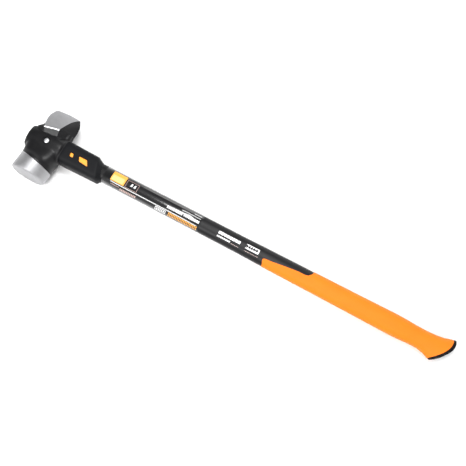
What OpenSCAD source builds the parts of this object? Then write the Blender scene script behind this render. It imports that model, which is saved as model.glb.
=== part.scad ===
// Splitting maul with a pinned forged head and a shock-absorbing composite handle.
// X runs along the handle, head at -X. Y runs from the striking face (-Y) to the
// cutting edge (+Y). The tool lies on its cheek, with Z = 0 at its lowest point.

/* [Overall] */
// Length from the top of the head to the end of the pommel
overall_len = 914; // [860:1:960]
// Length of the head from the striking face to the cutting edge
head_len = 150; // [144:1:158]
// Distance from the pin's centre to the top of the head
eye_to_top = 45; // [44:0.5:50]

/* [Head] */
// Diameter of the round poll behind the striking face
poll_d = 72; // [68:1:76]
// Radius of the rounded edge round the striking face
face_round = 4.5; // [3:0.5:10]
// Lean of the poll towards the top of the head, as X per Y
poll_rake = 0.1; // [0:0.01:0.12]
// Diameter of the eye barrel that the handle passes through
barrel_d = 52; // [50:0.5:56]
// Distance from the pin's centre to the barrel's end on the handle side
eye_to_collar = 34; // [30:1:38]
// Thickness of the wedge at its ridge
ridge_t = 60; // [54:1:64]
// Length of the cutting edge, between its toe and heel corners
edge_len = 59; // [50:1:60]
// Radius of the cutting edge's curve
edge_r = 170; // [80:5:200]
// Thickness left at the cutting edge
edge_t = 1; // [0.6:0.2:3]
// Diameter of the steel pin through the head and the handle
pin_d = 10.5; // [8:0.5:12]
// Diameter of the counterbore round each end of the pin
pin_seat_d = 15; // [13:0.5:18]

/* [Handle] */
// Width of the oval shaft, along Y
shaft_w = 34; // [32:0.5:36]
// Thickness of the oval shaft, along Z
shaft_h = 27; // [25:0.5:29]
// Width of the strike collar where it meets the head
collar_w = 49; // [46:0.5:50]
// Thickness of the strike collar where it meets the head
collar_h = 42; // [39:0.5:44]
// Distance from the pin's centre to the middle of the collar's far shoulder
collar_end = 118.3; // [112:0.1:118.8]
// Lean of the collar's far shoulder, as X per Y
collar_lean = 0.385; // [0.2:0.005:0.4]
// Distance from the pin's centre to the start of the glossy label
label_start = 131; // [131:1:150]
// Length of the glossy label wrapped round the shaft
label_len = 215; // [120:1:240]
// Distance from the pin's centre to the front of the grip
grip_start = 486; // [460:1:500]
// Length of the black tongue that runs into the front of the grip
tongue_len = 95; // [70:1:110]
// Width of the pommel between its two corners
pommel_w = 55; // [50:1:58]
// Slant of the pommel's end, as X per Y
pommel_slant = 0.53; // [0.3:0.01:0.6]
// Height of the curve across the pommel's end
pommel_bulge = 11.5; // [9:0.5:14]
// Thickness of the end cap at the middle of the pommel
cap_t = 7; // [6:0.5:8.5]

/* [Hidden] */

// Roundness of the handle's sections: 2 is an ellipse, higher is squarer
oval_n = 2.3;
collar_n = 3.5;
section_sides = 48;

// Places along X, counted from the middle of the whole tool
eye_x = eye_to_top - overall_len / 2;
tip_x = overall_len / 2;
face_y = -head_len / 2;
edge_y = head_len / 2;
axis_z = poll_d / 2;

// Handle layers, from the outside in
sleeve_wall = 3.5;
sleeve_w = shaft_w + 2 * sleeve_wall;
sleeve_h = shaft_h + 2 * sleeve_wall;
grip_seat_w = shaft_w - 2.5;
grip_seat_h = shaft_h - 2.5;
bore_w = shaft_w - 9;
bore_h = shaft_h - 9;
core_w = bore_w - 4;
core_h = bore_h - 4;

// The eye and the collar, from the pin's centre
barrel_round = 8;
cap_proud = 1.5;
cap_depth = 4;
ring_t = 2.5;
sleeve_end = collar_end - 22;
collar_taper = 9.5;
window_gap = 0.3;
pad_sink = 0.5;

// The grip and the pommel, from the pin's centre
grip_proud = 3;
tongue_sink = 0.5;
lead_in = 60;
pommel_half = pommel_w / 2;
pommel_peak_y = pommel_slant * pommel_half * pommel_half / (2 * pommel_bulge);
pommel_x = tip_x - eye_x - end_curve(pommel_peak_y, pommel_bulge);
cap_corner_t = 5.5;
cap_round = 1.8;
core_end = pommel_x - 34;
shell_end = pommel_x - 21;

// X of the pommel's curved end at y, counted from the middle of its chord
function end_curve(y, bulge) = pommel_slant * y + bulge * (1 - pow(y / pommel_half, 2));

// Point of a rounded oval at an angle
function oval_point(w, h, n, a) =
    [w / 2 * sign(cos(a)) * pow(abs(cos(a)), 2 / n),
     h / 2 * sign(sin(a)) * pow(abs(sin(a)), 2 / n)];
function oval(w, h, n) = [for (i = [0 : section_sides - 1])
    oval_point(w, h, n, 360 * i / section_sides)];

// Ring of an oval section across X, leaning by X per Y
function lean_ring(x, w, h, n, lean = 0) =
    [for (p = oval(w, h, n)) [x + lean * p.x, p.x, p.y]];
// Ring of an oval section that follows the pommel's curved end
function end_ring(x, w, h, bulge) =
    [for (p = oval(w, h, oval_n)) [x + end_curve(p.x * pommel_w / w, bulge), p.x, p.y]];

// Joins rings of points into one solid. Both ends are closed by strips across Z.
module loft(rings) {
    n = len(rings[0]);
    last = len(rings) - 1;
    function strip(j) = j == 0 ? [0, 1, n - 1]
        : j == n / 2 - 1 ? [j, j + 1, j + 2]
        : [j, j + 1, n - j - 1, n - j];
    function reversed(v) = [for (i = [len(v) - 1 : -1 : 0]) v[i]];
    sides = [for (i = [0 : last - 1]) for (j = [0 : n - 1])
        [i * n + j, (i + 1) * n + j, (i + 1) * n + (j + 1) % n, i * n + (j + 1) % n]];
    start = [for (j = [0 : n / 2 - 1]) strip(j)];
    finish = [for (j = [0 : n / 2 - 1]) reversed([for (k = strip(j)) k + last * n])];
    polyhedron(points = [for (r = rings) each r], faces = concat(sides, start, finish));
}

// Straight bar of oval section along X
module bar(x0, x1, w, h, n = oval_n) {
    translate([x0, 0, 0])
        rotate([90, 0, 90])
            linear_extrude(x1 - x0) polygon(oval(w, h, n));
}

// Places a piece drawn round the eye's centre, with the handle's axis along X
module placed() {
    translate([eye_x, 0, axis_z]) children();
}

module pin_bore() {
    cylinder(d = pin_d, h = poll_d + 20, center = true, $fn = 64);
}

// ---- Head ----

// Round poll, turned about Y and leaned, with its flat striking face
module poll() {
    r = poll_d / 2;
    root_y = face_y + 41;
    multmatrix([[1, poll_rake, 0, -poll_rake * root_y], [0, 1, 0, 0], [0, 0, 1, 0], [0, 0, 0, 1]])
        rotate([-90, 0, 0])
            rotate_extrude($fn = 96)
                polygon(concat(
                    [[0, face_y + 50]],
                    [[0, face_y]],
                    [for (a = [-90 : 15 : 0])
                        [r - face_round + face_round * cos(a), face_y + face_round + face_round * sin(a)]],
                    [[r - 1, face_y + 38], [r - 5, face_y + 50]]));
}

// Eye barrel, turned about X, with its rounded top end
module barrel() {
    r = barrel_d / 2;
    top = -(eye_to_top - cap_proud);
    rotate([0, 90, 0])
        rotate_extrude($fn = 96)
            polygon(concat(
                [[0, eye_to_collar], [0, top]],
                [for (a = [-90 : 15 : 0])
                    [r - barrel_round + barrel_round * cos(a), top + barrel_round + barrel_round * sin(a)]],
                [[r, eye_to_collar]]));
}

// Blend from the poll to the barrel
module neck() {
    hull() {
        translate([0, face_y + 36, 0])
            rotate([90, 0, 0])
                cylinder(r = poll_d / 2 - 1, h = 2, $fn = 48);
        translate([-37, -12, -23]) cube([37 + eye_to_collar - 0.5, 10, 46]);
        translate([-38, -12, -14]) cube([38 + eye_to_collar - 0.5, 20, 28]);
    }
}

// Section of the wedge at y: toe and heel on the middle plane, then toe and heel along
// the cheek, half thickness, lean as Y per X, and how far the toe's flank swells
function wedge_ring(y, toe_mid, heel_mid, toe_top, heel_top, half_t, lean, swell = 0.5) =
    let (flank = [(toe_mid + toe_top) / 2 - swell, half_t / 2 + swell])
    [for (p = [[heel_mid, 0], [heel_top, half_t], [toe_top, half_t], flank,
               [toe_mid, 0], [flank.x, -flank.y], [toe_top, -half_t], [heel_top, -half_t]])
        [p.x, y + lean * p.x, p.y]];

module wedge() {
    body_t = barrel_d / 2 - 1;
    ridge_y = 27.5;
    // Half thickness of the straight ground cheek at y
    function cheek(y) = edge_t / 2 + (ridge_t / 2 - edge_t / 2) * (edge_y - y) / (edge_y - ridge_y);
    intersection() {
        // Turned so that the rings, drawn along Y, meet the loft's order along X
        mirror([1, -1, 0])
            loft([for (r = [
                wedge_ring(3, -42, 33.5, -27, 27, body_t - 1, 0, 3),
                wedge_ring(14, -42, 35.3, -15.5, 14.5, body_t - 1, 0.2, 4),
                wedge_ring(24, -41.5, 35.4, -17.6, 12.4, ridge_t / 2 - 1.6, 0.24, 4),
                wedge_ring(ridge_y, -38.5, 35.5, -18.5, 11.5, ridge_t / 2, 0.24, 3),
                wedge_ring(33, -34.2, 35.6, -21, 12.3, cheek(33), 0.17, 1),
                wedge_ring(41, -32.8, 35.7, -25, 13.8, cheek(41), 0.1),
                wedge_ring(55, -32, 34.5, -30, 16.8, cheek(55), 0.03, 0.2),
                wedge_ring(63, -32, 33, -31.2, 19.5, cheek(63), 0, 0.1),
                wedge_ring(edge_y + 0.5, -32, 26.5, -32, 26.5, edge_t / 2, 0, 0)])
                [for (p = r) [p.y, p.x, p.z]]]);
        edge_outline();
    }
}

// Outline of the wedge from its cheek: curved edge with a rounded toe corner
module edge_outline() {
    toe_r = 10;
    heel_x = 27;
    toe_x = heel_x - edge_len;
    apex_x = 2;
    centre_y = edge_y - edge_r;
    function edge_at(x) = centre_y + sqrt(edge_r * edge_r - pow(x - apex_x, 2));
    corner_y = edge_at(toe_x + toe_r) - toe_r;
    translate([0, 0, -poll_d / 2])
        linear_extrude(poll_d)
            polygon(concat(
                [[-60, 0], [-60, corner_y - 25], [toe_x, corner_y]],
                [for (a = [165 : -15 : 105]) [toe_x + toe_r + toe_r * cos(a), corner_y + toe_r * sin(a)]],
                [for (i = [0 : 9]) let (x = toe_x + toe_r + (edge_len - toe_r) * i / 9) [x, edge_at(x)]],
                [[60, edge_at(heel_x)], [60, 0]]));
}

module maul_head() {
    color("#2b2c2f")
        placed()
            difference() {
                union() {
                    poll();
                    barrel();
                    neck();
                    wedge();
                }
                bar(-eye_to_top - 5, eye_to_collar + 5, sleeve_w, sleeve_h);
                pin_bore();
                for (side = [-1, 1])
                    translate([0, 0, side * (barrel_d / 2 + 3)])
                        cylinder(d = pin_seat_d, h = 10, center = true, $fn = 64);
            }
}

// Steel pin with domed ends, flush with the head's cheeks
module cross_pin() {
    dome = 1.4;
    half = barrel_d / 2 - 0.3;
    r = pin_d / 2;
    color("#d9dade")
        placed()
            rotate_extrude($fn = 64)
                polygon(concat(
                    [[0, -half]],
                    [for (a = [30 : 30 : 90]) [r * sin(a), -half + dome * (1 - cos(a))]],
                    [for (a = [90 : -30 : 30]) [r * sin(a), half - dome * (1 - cos(a))]],
                    [[0, half]]));
}

// Plug that closes the eye at the top of the head, with a lip over the socket's mouth
module eye_cap() {
    top = -(eye_to_top - cap_proud);
    color("#1c1d1f")
        placed() {
            bar(top, top + cap_depth, sleeve_w, sleeve_h);
            bar(-eye_to_top, top, sleeve_w - 4, sleeve_h - 4);
        }
}

// ---- Collar end of the handle ----

module collar_body() {
    taper = collar_taper / 2;
    loft([
        lean_ring(eye_to_collar + ring_t, collar_w, collar_h, collar_n),
        lean_ring(eye_to_collar + ring_t + 20, collar_w - 0.5, collar_h - 0.5, collar_n, -collar_lean / 3),
        lean_ring(collar_end - taper, collar_w - 2.5, collar_h - 2, collar_n, -collar_lean),
        lean_ring(collar_end - taper + 3, collar_w - 4.5, collar_h - 4, collar_n, -collar_lean),
        lean_ring(collar_end + taper, shaft_w + 2.2, shaft_h + 2.2, oval_n, -collar_lean),
        lean_ring(collar_end + taper + 1, shaft_w + 1, shaft_h + 1, oval_n, -collar_lean)]);
}

// Small and large window, as outlines on the cheek side of the collar
small_window = [[53.6, 1.6], [54.8, 2.4], [59.4, 2.4], [60.6, 1.4], [62.4, -4.4], [61.6, -5.6],
                [56, -5.6], [54.8, -4.6]];
large_window = [[72.6, 2], [73.6, 3.2], [89.4, 3.4], [90.8, 2.6], [96.8, -7.2], [96, -8.2],
                [77.8, -6.4], [76.4, -5.4]];

function shrunk(outline, by) =
    let (n = len(outline), c = [for (k = [0, 1]) [for (p = outline) p[k]] * [for (p = outline) 1] / n])
    [for (p = outline) p + (c - p) * by / norm(c - p)];

module windows(by = 0) {
    for (outline = [small_window, large_window])
        translate([0, 0, -collar_h])
            linear_extrude(2 * collar_h) polygon(shrunk(outline, by));
}

// Orange elastomer between the handle and the head, with pads that fill the windows
module isolation_sleeve() {
    top = -(eye_to_top - cap_proud) + cap_depth;
    color("#f28a1e")
        placed()
            difference() {
                union() {
                    bar(top, sleeve_end, sleeve_w, sleeve_h);
                    intersection() {
                        bar(eye_to_collar + ring_t, collar_end, collar_w, collar_h - 2 - 2 * pad_sink, collar_n);
                        windows(window_gap);
                    }
                }
                bar(top - 1, collar_end + 1, shaft_w, shaft_h);
                pin_bore();
            }
}

module seal_ring() {
    color("#101113")
        placed()
            difference() {
                bar(eye_to_collar, eye_to_collar + ring_t, collar_w - 2.4, collar_h - 1, collar_n);
                bar(eye_to_collar - 1, eye_to_collar + ring_t + 1, sleeve_w, sleeve_h);
            }
}

module strike_collar() {
    color("#2a2b2e")
        placed()
            difference() {
                collar_body();
                bar(eye_to_collar, sleeve_end, sleeve_w, sleeve_h);
                bar(sleeve_end - 1, collar_end + 40, shaft_w, shaft_h);
                windows();
            }
}

// ---- Shaft ----

module core_rod() {
    color("#d8cf9a")
        placed()
            difference() {
                bar(-38, core_end, core_w, core_h);
                pin_bore();
            }
}

module core_jacket() {
    color("#6e7278")
        placed()
            difference() {
                bar(-38, core_end, bore_w, bore_h);
                bar(-39, core_end + 1, core_w, core_h);
                pin_bore();
            }
}

// Outline of the black tongue from the cheek side; the grip covers all the rest
module tongue_outline() {
    end = grip_start + tongue_len;
    translate([0, 0, -50])
        linear_extrude(100)
            polygon([
                [grip_start - lead_in, 30], [grip_start - lead_in, -30], [grip_start, -30],
                [grip_start, -16], [grip_start - 2.6, -10], [grip_start - 2.4, -7],
                [grip_start + 1, -5.3], [grip_start + 14, -4.4], [grip_start + 41, -0.8],
                [end - 28, 2.4], [end - 14, 2.6], [end - 7.5, 4.2], [end - 2, 11], [end, 20],
                [end, 30]]);
}

// Outer composite shell: oval tube, stepped down under the grip
module shaft_shell() {
    top = -(eye_to_top - cap_proud) + cap_depth;
    color("#232427")
        placed()
            difference() {
                union() {
                    bar(top, grip_start - 10, shaft_w, shaft_h);
                    bar(top, shell_end, grip_seat_w, grip_seat_h);
                    intersection() {
                        shell_swell();
                        tongue_outline();
                    }
                }
                bar(top - 1, shell_end + 1, bore_w, bore_h);
                pin_bore();
            }
}

module label_wrap() {
    film = 0.35;
    color("#151619")
        placed()
            difference() {
                bar(label_start, label_start + label_len, shaft_w + 2 * film, shaft_h + 2 * film);
                bar(label_start - 1, label_start + label_len + 1, shaft_w, shaft_h);
            }
}

// ---- Grip and pommel ----

// The shell's swell under the front of the grip, a little below the grip's outer shape
module shell_swell() {
    w = shaft_w + grip_proud - 2 * tongue_sink;
    h = shaft_h + grip_proud - 2 * tongue_sink;
    loft([
        lean_ring(grip_start - lead_in, shaft_w - 0.2, shaft_h - 0.2, oval_n),
        lean_ring(grip_start, w, h, oval_n),
        lean_ring(grip_start + tongue_len, w + 1, h + 0.5, oval_n)]);
}

module grip_body() {
    w = shaft_w + grip_proud;
    h = shaft_h + grip_proud;
    loft([
        lean_ring(grip_start - 4, w - 1, h - 1, oval_n),
        lean_ring(grip_start, w, h, oval_n),
        lean_ring(grip_start + tongue_len, w + 1, h + 0.5, oval_n),
        lean_ring(grip_start + tongue_len + 95, w + 2.6, h + 1.5, oval_n),
        lean_ring(pommel_x - 105, w + 4.2, h + 2.5, oval_n),
        lean_ring(pommel_x - 84, w + 3.4, h + 2.2, oval_n, pommel_slant * 0.1),
        lean_ring(pommel_x - 62, w + 0.8, h + 1.6, oval_n, pommel_slant * 0.25),
        lean_ring(pommel_x - 44, w + 0.4, h + 1.6, oval_n, pommel_slant * 0.6),
        lean_ring(pommel_x - 30, w + 2.6, h + 2.2, oval_n, pommel_slant * 0.9),
        lean_ring(pommel_x - 18, w + 7.6, h + 3.2, oval_n, pommel_slant),
        lean_ring(pommel_x - 10.5, pommel_w - 5.6, h + 3.9, oval_n, pommel_slant),
        cap_seat()]);
}

// The curved ring where the grip ends and the end cap starts
function cap_seat() = end_ring(pommel_x - cap_corner_t, pommel_w - 2, shaft_h + grip_proud + 4.5,
    pommel_bulge - cap_t + cap_corner_t);

module grip() {
    color("#f7931e")
        placed()
            difference() {
                grip_body();
                tongue_outline();
                bar(grip_start - 20, shell_end, grip_seat_w, grip_seat_h);
                bar(shell_end - 1, pommel_x + 30, bore_w, bore_h);
            }
}

// Black cap over the end of the grip, with a spigot that plugs the shell
module end_cap() {
    w = pommel_w;
    h = shaft_h + grip_proud + 5;
    color("#1b1a1d")
        placed() {
            loft([
                cap_seat(),
                end_ring(pommel_x - cap_corner_t / 2, w - 1, h + 0.2, pommel_bulge - cap_t / 2 + cap_corner_t / 2),
                end_ring(pommel_x - cap_round, w, h + 0.4, pommel_bulge - 0.6),
                end_ring(pommel_x - cap_round * 0.3, w - cap_round, h - cap_round, pommel_bulge - 0.2),
                end_ring(pommel_x, w - 3 * cap_round, h - 3 * cap_round, pommel_bulge)]);
            intersection() {
                bar(core_end, pommel_x + 30, bore_w, bore_h);
                loft([
                    lean_ring(core_end, pommel_w, 40, 2),
                    cap_seat()]);
            }
        }
}

maul_head();
cross_pin();
eye_cap();
isolation_sleeve();
seal_ring();
strike_collar();
core_rod();
core_jacket();
shaft_shell();
label_wrap();
grip();
end_cap();
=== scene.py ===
"""Splitting maul: the finished look of each piece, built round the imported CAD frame."""

import math

import bmesh
import bpy
from mathutils import Euler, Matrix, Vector


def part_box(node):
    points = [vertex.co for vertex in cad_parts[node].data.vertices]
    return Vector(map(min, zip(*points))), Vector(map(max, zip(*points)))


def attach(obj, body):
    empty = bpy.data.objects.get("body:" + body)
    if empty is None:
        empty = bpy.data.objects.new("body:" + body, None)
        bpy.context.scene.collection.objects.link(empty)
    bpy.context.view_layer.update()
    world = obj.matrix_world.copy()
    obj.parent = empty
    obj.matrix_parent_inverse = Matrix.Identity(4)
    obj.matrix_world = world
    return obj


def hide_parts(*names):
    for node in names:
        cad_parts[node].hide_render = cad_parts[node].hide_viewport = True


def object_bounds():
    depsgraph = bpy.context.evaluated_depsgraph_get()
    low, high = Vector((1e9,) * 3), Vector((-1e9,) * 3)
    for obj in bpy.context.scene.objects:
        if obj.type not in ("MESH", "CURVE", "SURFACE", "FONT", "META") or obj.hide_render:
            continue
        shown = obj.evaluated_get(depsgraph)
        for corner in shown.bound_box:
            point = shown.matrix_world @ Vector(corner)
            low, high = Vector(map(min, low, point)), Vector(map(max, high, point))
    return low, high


bl_info = {
    "name": "Splitting Maul",
    "version": (1, 0, 0),
    "blender": (4, 5, 0),
    "location": "3D View > Sidebar > Maul",
    "description": "Builds a splitting maul with a pinned steel head and a composite handle",
    "category": "Object",
}

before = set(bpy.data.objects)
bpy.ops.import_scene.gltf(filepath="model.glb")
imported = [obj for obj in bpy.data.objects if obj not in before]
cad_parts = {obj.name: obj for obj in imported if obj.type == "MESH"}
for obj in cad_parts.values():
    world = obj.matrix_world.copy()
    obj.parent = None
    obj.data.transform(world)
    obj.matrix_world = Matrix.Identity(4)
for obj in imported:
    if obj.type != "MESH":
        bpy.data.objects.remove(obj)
cad_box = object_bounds()

MM = 0.001
PIN_LOW, PIN_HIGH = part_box("cross_pin")
CORE_LOW, CORE_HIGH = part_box("core_rod")
# Middle of the eye: the pin's place along the handle, on the handle's axis
EYE = (CORE_LOW + CORE_HIGH) / 2
EYE.x = (PIN_LOW.x + PIN_HIGH.x) / 2


def span(node, axis):
    """Lowest and highest place of a CAD node along one axis, in mm from the pin's middle."""
    low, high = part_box(node)
    return (low[axis] - EYE[axis]) / MM, (high[axis] - EYE[axis]) / MM


FACE_Y, EDGE_Y = span("maul_head", 1)
POLL_R = span("maul_head", 2)[1]
HEAD_TOP, HEAD_END = span("maul_head", 0)
RING_START, RING_END = span("seal_ring", 0)
LABEL_START, LABEL_END = span("label_wrap", 0)
SHELL_START, SHELL_END = span("shaft_shell", 0)
CORE_END = span("core_rod", 0)[1]
TOOL_TOP = span("eye_cap", 0)[0]


def linear(hex_colour):
    """Linear red, green, blue and alpha of an sRGB hex colour."""
    parts = [int(hex_colour[i : i + 2], 16) / 255 for i in (1, 3, 5)]
    return tuple(
        c / 12.92 if c <= 0.04045 else ((c + 0.055) / 1.055) ** 2.4 for c in parts
    ) + (1.0,)


# ---------------------------------------------------------------- sizes and colours


def length(name, description, millimetres):
    """A length that the user can change, shown in scene units."""
    return bpy.props.FloatProperty(
        name=name,
        description=description,
        default=millimetres * MM,
        min=0,
        precision=5,
        unit="LENGTH",
    )


def colour(name, description, hex_colour):
    """A colour that the user can change."""
    return bpy.props.FloatVectorProperty(
        name=name,
        description=description,
        default=linear(hex_colour),
        size=4,
        min=0,
        max=1,
        subtype="COLOR",
    )


class MaulSizes(bpy.types.PropertyGroup):
    """Sizes of the details that the CAD frame doesn't set"""

    face_round: length("Face rounding", "Radius round the striking face", 4.5)
    paint_step: length("Paint step", "How far the neck sits below the ground poll", 0.9)
    window_rim: length("Window rim", "Chamfer round the collar's windows", 0.7)
    pad_sink: length("Pad sink", "How far the orange pads lie below the collar", 0.6)
    film: length("Label film", "Thickness of the glossy label", 0.3)
    ink: length("Ink", "Thickness of the printed blocks", 0.06)
    grip_skin: length("Grip skin", "Thickness of the grip over the black tongue", 0.6)


class MaulColours(bpy.types.PropertyGroup):
    """Colours of the finishes"""

    steel: colour("Ground steel", "Poll and cheeks", "#A4A4A6")
    paint: colour("Head paint", "Painted body of the head", "#08080A")
    pin: colour("Pin steel", "Ends of the cross pin", "#E2E3E6")
    collar: colour("Collar rubber", "Strike collar", "#090A0D")
    seal: colour("Seal rubber", "Ring between the head and the collar", "#0B0B0D")
    pads: colour("Elastomer", "Pads in the collar's windows", "#F59A2C")
    shaft: colour("Shaft", "Composite shell of the shaft", "#0B0B0D")
    label: colour("Label", "Glossy film on the shaft", "#08080A")
    orange_ink: colour("Orange ink", "Orange print on the label", "#F3A83C")
    # This paler ink is a painted highlight: glare on the glossy orange panel, printed as a lighter
    # colour
    highlight_ink: colour("Highlight ink", "Pale panel inside the orange print", "#E4BC78")
    white_ink: colour("White ink", "White print on the label and the shaft", "#E9E9E9")
    dim_ink: colour("Dim ink", "Small print on the label", "#B99A92")
    grip: colour("Grip", "Soft orange grip", "#EA7400")
    cap: colour("Caps", "End cap and eye cap", "#050405")
    floor: colour("Floor", "Pale studio floor", "#FAFAFA")


def sizes():
    return bpy.context.scene.maul_sizes


def colours():
    return bpy.context.scene.maul_colours


# ---------------------------------------------------------------- shape helpers

# Sides of a ring across the handle, and the oval of the handle's shaft
BAR_SIDES = 96
HANDLE_ROUND = 2.3
SHAFT_W, SHAFT_H = 34, 27
PIN_SIDES = 64


def at(x, y, z):
    """Point in the scene, from mm counted from the pin's middle."""
    return EYE + Vector((x, y, z)) * MM


def ease(t):
    """Smooth step from 0 to 1."""
    t = min(max(t, 0), 1)
    return t * t * (3 - 2 * t)


def mix(a, b, t):
    return a + (b - a) * t


def through(rows, x):
    """Values at x on a smooth curve through rows of (place, value, ...)."""
    i = 0
    while i < len(rows) - 2 and x > rows[i + 1][0]:
        i += 1
    a, b = rows[i], rows[i + 1]
    before, after = rows[max(i - 1, 0)], rows[min(i + 2, len(rows) - 1)]
    run = b[0] - a[0]
    t = min(max((x - a[0]) / run, 0), 1)
    values = []
    for k in range(1, len(a)):
        slope_a = (b[k] - before[k]) / (b[0] - before[0]) * run
        slope_b = (after[k] - a[k]) / (after[0] - a[0]) * run
        values.append(
            (2 * t**3 - 3 * t**2 + 1) * a[k]
            + (t**3 - 2 * t**2 + t) * slope_a
            + (3 * t**2 - 2 * t**3) * b[k]
            + (t**3 - t**2) * slope_b
        )
    return values


def turn(count):
    """Angles of one full turn."""
    return [math.tau * i / count for i in range(count)]


def steps(a, b, count):
    """Evenly spaced numbers from a to b, both included."""
    return [mix(a, b, i / count) for i in range(count + 1)]


def oval_point(w, h, angle, roundness=HANDLE_ROUND):
    """Point (y, z) of a rounded oval: roundness 2 is an ellipse, higher is squarer."""
    c, s = math.cos(angle), math.sin(angle)
    y = w / 2 * math.copysign(abs(c) ** (2 / roundness), c)
    z = h / 2 * math.copysign(abs(s) ** (2 / roundness), s)
    return y, z


def bar_ring(x, w, h, roundness=HANDLE_ROUND, lean=0.0, bulge=0.0):
    """Ring across the handle at x, leaning by lean along X per Y and bulging at its middle."""
    return [
        at(x + lean * y + bulge * (1 - (2 * y / w) ** 2), y, z)
        for y, z in (oval_point(w, h, a, roundness) for a in turn(BAR_SIDES))
    ]


def loft(bm, rings, closed=False):
    """Skin through rings of points, made by extruding a circle from ring to ring."""
    count = len(rings[0])
    ring = bmesh.ops.create_circle(bm, segments=count, radius=MM)["verts"]
    for v, point in zip(ring, rings[0]):
        v.co = point
    edges = [bm.edges.get((ring[i], ring[(i + 1) % count])) for i in range(count)]
    first_edges = edges
    for points in rings[1:]:
        made = bmesh.ops.extrude_edge_only(bm, edges=edges)["geom"]
        fresh = {g for g in made if isinstance(g, bmesh.types.BMVert)}
        ring = [
            next(e.other_vert(v) for e in v.link_edges if e.other_vert(v) in fresh)
            for v in ring
        ]
        for v, point in zip(ring, points):
            v.co = point
        edges = [bm.edges.get((ring[i], ring[(i + 1) % count])) for i in range(count)]
    if closed:
        bmesh.ops.bridge_loops(bm, edges=first_edges + edges)
    else:
        bmesh.ops.contextual_create(bm, geom=first_edges)
        bmesh.ops.contextual_create(bm, geom=edges)


def bar(*rows):
    """Bar along the handle, from rows of place, width and height."""
    bm = bmesh.new()
    loft(bm, [bar_ring(*row) for row in rows])
    return bm


def turned(profile):
    """Shape turned about the pin's axis, from rows of radius and height."""
    bm = bmesh.new()
    loft(
        bm,
        [[at(r * math.cos(a), r * math.sin(a), z) for a in turn(PIN_SIDES)] for r, z in profile],
    )
    return bm


def piece(name, bm):
    """Finished mesh object from a bmesh, smooth but for edges sharper than 35 degrees."""
    bmesh.ops.remove_doubles(bm, verts=bm.verts, dist=0.002 * MM)
    bmesh.ops.recalc_face_normals(bm, faces=bm.faces)
    mesh = bpy.data.meshes.new(name)
    bm.to_mesh(mesh)
    bm.free()
    mesh.shade_smooth()
    mesh.set_sharp_from_angle(angle=math.radians(35))
    made = bpy.data.objects.new(name, mesh)
    bpy.context.scene.collection.objects.link(made)
    return made


def cut(target, sharp, *shapes):
    """Takes other shapes out of a piece, and keeps edges sharper than an angle sharp."""
    tools = [piece("cutter", bm) for bm in shapes]
    for tool in tools:
        modifier = target.modifiers.new("Cut", "BOOLEAN")
        modifier.operation = "DIFFERENCE"
        modifier.solver = "EXACT"
        modifier.object = tool
    bpy.context.view_layer.update()
    seen = target.evaluated_get(bpy.context.evaluated_depsgraph_get())
    mesh = bpy.data.meshes.new_from_object(seen)
    if len(mesh.polygons) < 20:
        raise RuntimeError(f"cutting {target.name} left nothing")
    target.modifiers.clear()
    target.data = mesh
    mesh.shade_smooth()
    mesh.set_sharp_from_angle(angle=math.radians(sharp))
    for tool in tools:
        bpy.data.objects.remove(tool)


def hand_over(made, node, material):
    """Gives a piece its material and lets it stand for a CAD node."""
    made.data.materials.clear()
    made.data.materials.append(material)
    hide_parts(node)
    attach(made, "root")


def pin_bore():
    """Bore for the cross pin, through everything."""
    radius = span("cross_pin", 0)[1]
    return turned([(radius, -45), (radius, 45)])


def shrunk(outline, by):
    """Corner list (x, y) drawn in towards its middle."""
    middle = sum((Vector(p) for p in outline), Vector((0, 0))) / len(outline)
    return [Vector(p) + (middle - Vector(p)).normalized() * by for p in outline]


def prism(outline, *levels):
    """Upright prism over a corner list, from levels of height and how far it opens out."""
    bm = bmesh.new()
    loft(bm, [[at(x, y, z) for x, y in shrunk(outline, -grow)] for z, grow in levels])
    return bm


# ---------------------------------------------------------------- material helpers


def add(tree, kind, inputs=None, out=0, **settings):
    """Adds a node with its settings, sets or links each input, and returns one output."""
    node = tree.nodes.new("ShaderNode" + kind)
    for name, value in settings.items():
        setattr(node, name, value)
    for name, value in (inputs or {}).items():
        if isinstance(value, bpy.types.NodeSocket):
            tree.links.new(value, node.inputs[name])
        else:
            node.inputs[name].default_value = value
    return node.outputs[out] if node.outputs else None


def start_material(name):
    """Empty node material, and the places on its piece in mm from the pin's middle."""
    material = bpy.data.materials.new(name)
    material.use_nodes = True
    tree = material.node_tree
    tree.nodes.clear()
    corner = add(tree, "TexCoord", out="Object")
    place = add(
        tree, "Mapping", {"Vector": corner, "Scale": [1 / MM] * 3, "Location": -EYE / MM}
    )
    return material, tree, place


def finished(material, surface):
    """The material, completed by its surface's settings."""
    shader = add(material.node_tree, "BsdfPrincipled", surface)
    add(material.node_tree, "OutputMaterial", {"Surface": shader})
    return material


def shades(base, dark, light):
    """Colour made darker and lighter by two factors, for the two colours of a mix."""
    return {
        socket: [min(c * factor, 1) for c in base[:3]] + [1]
        for socket, factor in ((6, dark), (7, light))
    }


def summed(tree, *parts):
    """Sum of patterns, each moved from its 0 to 1 to a range of its own."""
    total = 0
    for pattern, low, high in parts:
        moved = add(tree, "MapRange", {"Value": pattern, "To Min": low, "To Max": high})
        total = add(tree, "Math", {0: total, 1: moved}, operation="ADD")
    return total


# ---------------------------------------------------------------- finishes
# A noise's scale is 1 over the size of its lumps in mm


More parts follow.
